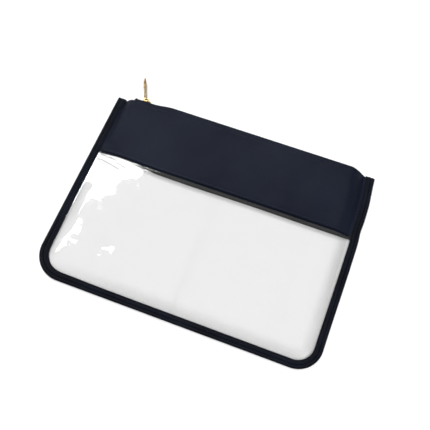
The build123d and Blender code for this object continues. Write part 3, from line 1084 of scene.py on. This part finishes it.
def build_tape_end(name, x0, x1, flipped):
    """End of the tape folded on itself: a flattened roll that stands just above the band's edge."""
    t = np.linspace(0, 1, 12)
    turn = np.linspace(0, 2 * np.pi, 14, endpoint=False)
    swell = np.sqrt(np.clip(1 - (2 * t - 1) ** 4, 0.04, 1))
    y = ZIP_Y + 0.2 + 1.1 * swell[:, None] * np.cos(turn)
    z = ZIP_Z + (1.9 if flipped else -1.9) + 1.55 * swell[:, None] * np.sin(turn)
    x = np.broadcast_to((x0 + t * (x1 - x0))[:, None], y.shape)
    return tube(name, np.stack([x, y, z], -1), x[:, 0], np.linspace(0, 8, 15))


back_tape = build_tape("back_tape", np.linspace(TAPE_LEFT, TAPE_RIGHT, 120), False)
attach(dress(back_tape, TAPE, "zip_tape", "back_zipper_tape"), "bag")
for side, name in HALVES:
    reach = TAPE_LEFT if side < 0 else TAPE_RIGHT
    front_tape = build_tape("front_tape_" + name, np.linspace(reach, 0, 60), True)
    gape(dress(front_tape, TAPE, "zip_tape", "front_zipper_tape"))
    ends = sorted((reach, reach - side * 3.2))
    fold = build_tape_end("back_tape_end_" + name, *ends, False)
    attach(dress(fold, TAPE, "zip_tape", "back_zipper_tape"), "bag")
    fold = build_tape_end("front_tape_end_" + name, *ends, True)
    gape(dress(fold, TAPE, "zip_tape", "front_zipper_tape"))
print("tapes:", round(TAPE_RIGHT - TAPE_LEFT), "mm long")

# %% Cut sizes of the sheets
HALF_CUT = HALF - SHEET_INSET
BAND_CUT = EDGE - SEAM + HEM
TAPE_CUT = TAPE_WIDTH + ZIP_Z - 1.0 - box_mm("back_zipper_tape")[0][2]


def cloth(name, width, length, neighbour, others=(), share=1.0):
    """Takes a sheet's cut size and the cut's share of it, but declares nothing; none of its arguments is
    used.
    """


edging = ["edge_binding_tape", "binding_stitches"]
cloth("back_window", 2 * HALF_CUT, WINDOW_CUT, "back_nylon_band", edging, 0.97)
sewn = ["back_seam_allowance", "back_seam_stitches"]
cloth("back_band", 2 * HALF_CUT, BAND_CUT, "back_clear_panel", sewn)
cloth("back_tape", TAPE_RIGHT - TAPE_LEFT, TAPE_CUT, "back_band", ["back_zip_stitches"])
for side, name in HALVES:
    reach = TAPE_LEFT if side < 0 else TAPE_RIGHT
    cloth("front_window_" + name, HALF_CUT, WINDOW_CUT, "edge_binding", (), 0.97)
    sewn = ["front_seam_allowance_" + name, "front_seam_stitches_" + name]
    cloth("front_band_" + name, HALF_CUT, BAND_CUT, "front_clear_panel", sewn)
    sewn = ["front_zip_stitches_" + name]
    cloth("front_tape_" + name, abs(reach), TAPE_CUT, "front_band_" + name, sewn)
print("cut, mm:", round(2 * HALF_CUT), "wide; window", round(WINDOW_CUT), "band", round(BAND_CUT),
      "tape", round(TAPE_CUT, 1))

# %% Coils
COIL_PITCH = 1.3
WIRE = 0.3
COIL_HALF_Y = 0.62
COIL_NEAR, COIL_FAR = 0.12, 1.85
COIL_PARTED, COIL_SQUEEZED = 0.52, 0.12
COIL_LEFT, COIL_RIGHT = box_mm("front_coil")[0][0], box_mm("front_coil")[1][0]
SLIDER_LOW = box_mm("slider_body")[0]
TRAVEL = 210.0


def build_coil(name, x0, x1, flipped, phase):
    """Flat helix: Y follows a sine and Z a cosine of the turn, and a round ring is carried along it."""
    turns = (x1 - x0) / COIL_PITCH
    turn = np.linspace(0, 2 * np.pi * turns, round(turns * 14)) + phase
    x = x0 + (turn - phase) * COIL_PITCH / (2 * np.pi)
    y = ZIP_Y + COIL_HALF_Y * np.sin(turn)
    middle, half = (COIL_FAR + COIL_NEAR) / 2, (COIL_FAR - COIL_NEAR) / 2
    away = x - SLIDER_LOW[0]
    parted = 1 - smooth((away - 4) / 4)
    parted = parted + smooth((away - TRAVEL + 5) / 4) * (1 - smooth((away - TRAVEL - 4) / 4))
    z = middle - half * (1 - COIL_SQUEEZED * parted) * np.cos(turn) + COIL_PARTED * parted
    path = np.stack([x, y, z], -1)
    ahead = np.gradient(path, axis=0)
    ahead /= np.linalg.norm(ahead, axis=1, keepdims=True)
    side = np.cross(ahead, [1.0, 0.0, 0.0])
    side /= np.linalg.norm(side, axis=1, keepdims=True)
    up = np.cross(side, ahead)
    ring = np.linspace(0, 2 * np.pi, 7, endpoint=False)
    rings = path[:, None, :] + WIRE * (np.cos(ring)[None, :, None] * side[:, None, :]
                                       + np.sin(ring)[None, :, None] * up[:, None, :])
    rings[..., 2] = ZIP_Z + rings[..., 2] if flipped else ZIP_Z - rings[..., 2]
    return tube(name, rings, turn * COIL_PITCH, np.linspace(0, 2, 8))


for side, name in HALVES:
    ends = (COIL_LEFT, 0.0) if side < 0 else (0.0, COIL_RIGHT)
    back_coil = build_coil("back_coil_" + name, *ends, False, 0.0)
    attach(dress(back_coil, COIL, "zip_coil", "back_coil"), "bag")
    front_coil = build_coil("front_coil_" + name, *ends, True, np.pi)
    gape(dress(front_coil, COIL, "zip_coil", "front_coil"))
    print(front_coil.name, len(front_coil.data.polygons), "faces")

# %% [markdown]
# ## Hardware
#
# Slider, arch and pull keep their own shapes; they only need the plating. The stops are moulded
# like the coil. The two top stops are made anew, because the front one has to bend with its tape
# when the mouth opens, and a rigid one would be left hanging in the air; nothing here makes it bend.

# %% Hardware
def build_top_stop(name, node):
    """Clip over a coil's end: a squared-off oval section, a little smaller at both ends."""
    low, high = (np.array(corner) for corner in box_mm(node))
    middle, half = (low + high) / 2, (high - low) / 2
    turn = np.linspace(0, 2 * np.pi, 24, endpoint=False)
    t = np.linspace(-1, 1, 11)[:, None]
    swell = 1 - 0.25 * t ** 6
    y = middle[1] + half[1] * swell * np.sign(np.cos(turn)) * np.abs(np.cos(turn)) ** 0.5
    z = middle[2] + half[2] * swell * np.sign(np.sin(turn)) * np.abs(np.sin(turn)) ** 0.5
    x = np.broadcast_to(middle[0] + half[0] * t, y.shape)
    return tube(name, np.stack([x, y, z], -1), x[:, 0], np.linspace(0, 12, 25))


def repaint(node, material):
    """Gives a node of the frame a finish, in every material slot that it has."""
    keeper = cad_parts[node]
    if not keeper.material_slots:
        keeper.data.materials.append(material)
    for holder in keeper.material_slots:
        holder.material = material


for node in ("slider_body", "slider_bail", "pull_tab"):
    repaint(node, GOLD)
repaint("bottom_stop", STOPS)
gape(dress(build_top_stop("front_stop", "front_top_stop"), STOPS, "stops", "front_top_stop"))
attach(dress(build_top_stop("back_stop", "back_top_stop"), STOPS, "stops", "back_top_stop"), "bag")
print("hardware: 4 nodes repainted, 2 clips made")
